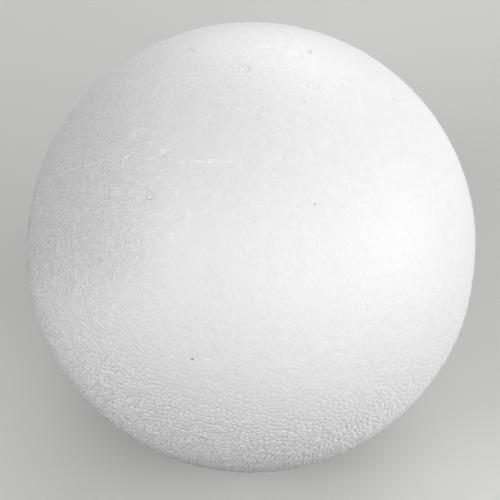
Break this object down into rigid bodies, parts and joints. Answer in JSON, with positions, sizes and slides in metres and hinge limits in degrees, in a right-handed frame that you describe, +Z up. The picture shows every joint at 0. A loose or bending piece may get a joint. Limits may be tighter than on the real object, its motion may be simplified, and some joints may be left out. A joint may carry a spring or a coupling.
{
  "type": "polystyrene ball",
  "caption": "Plain white ball of moulded expanded polystyrene with a fine beaded skin, a faint parting line and small round vent marks, for craft and display work.",
  "frame": {"origin": "the ball's centre", "axes": "+Z up as the ball lies, -Y towards the side it is seen from; the parting plane's normal is lifted 22 degrees from the horizontal and turned 9 degrees from +Y towards +X"},
  "size_m": [0.2992, 0.2998, 0.2998],
  "materials": {
    "foam": "white, beaded, satin"
  },
  "bodies": {
    "root": {"ball": "foam"}
  },
  "joints": []
}
